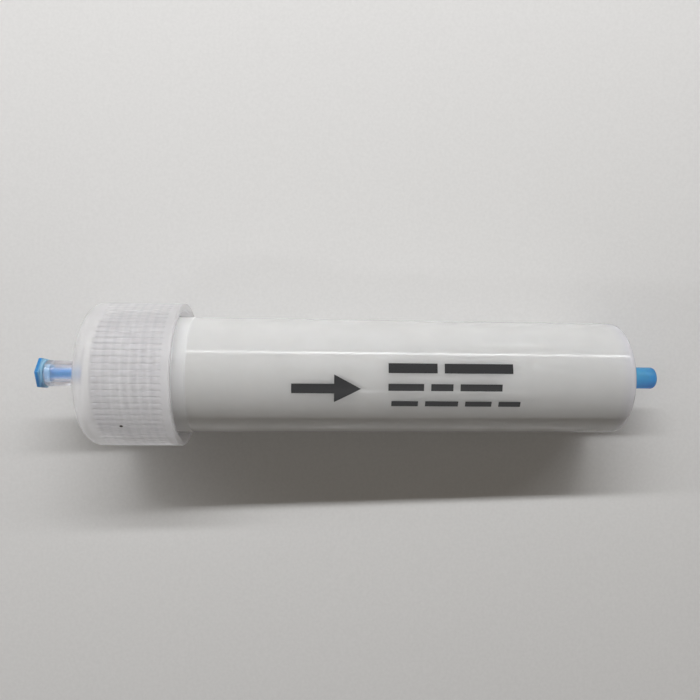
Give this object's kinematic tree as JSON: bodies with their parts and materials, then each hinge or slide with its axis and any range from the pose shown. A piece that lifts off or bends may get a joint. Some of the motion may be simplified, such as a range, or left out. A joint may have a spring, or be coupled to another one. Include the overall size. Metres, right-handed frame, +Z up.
{
  "type": "flash chromatography column",
  "caption": "Disposable flash chromatography column: a glossy plastic barrel packed with white powder, a ribbed screw cap with a tapered inlet and plug, and a capped outlet tip.",
  "frame": {"origin": "on the column's axis, in the plane of the screw cap's open rim", "axes": "+X along the column's axis towards the outlet, +Z up as the column lies on its side, +Y across it"},
  "size_m": [0.149, 0.034, 0.034],
  "materials": {
    "barrel_polypropylene": "glossy, milky natural polypropylene over white powder",
    "cap_polypropylene": "translucent, softly frosted natural polypropylene",
    "seal_silicone": "white silicone rubber, smooth",
    "frit_polyethylene": "sintered porous polyethylene, matt white",
    "silica_powder": "packed white powder, matt",
    "plug_blue": "translucent blue polyethylene, satin"
  },
  "bodies": {
    "column": {"column_body": "barrel_polypropylene", "silica_bed": "silica_powder", "inlet_frit": "frit_polyethylene", "outlet_frit": "frit_polyethylene"},
    "seal": {"seal_ring": "seal_silicone"},
    "cap": {"screw_cap": "cap_polypropylene"},
    "plug": {"inlet_plug": "plug_blue"},
    "tip_cap": {"outlet_cap": "plug_blue"}
  },
  "joints": [
    {"name": "cap_lift", "type": "slide", "parent": "column", "child": "seal", "axis": [-1, 0, 0], "range_m": [0, 0.014]},
    {"name": "cap_turn", "type": "hinge", "parent": "seal", "child": "cap", "pos_m": [0, 0, 0], "axis": [-1, 0, 0], "range_deg": [0, 2520]},
    {"name": "plug_pull", "type": "slide", "parent": "cap", "child": "plug", "axis": [-1, 0, 0], "range_m": [0, 0.01]},
    {"name": "outlet_cap_pull", "type": "slide", "parent": "column", "child": "tip_cap", "axis": [1, 0, 0], "range_m": [0, 0.01]}
  ],
  "couplings": [
    {"joint": "cap_lift", "follows": "cap_turn", "m_per_rad": 0.00031831}
  ]
}
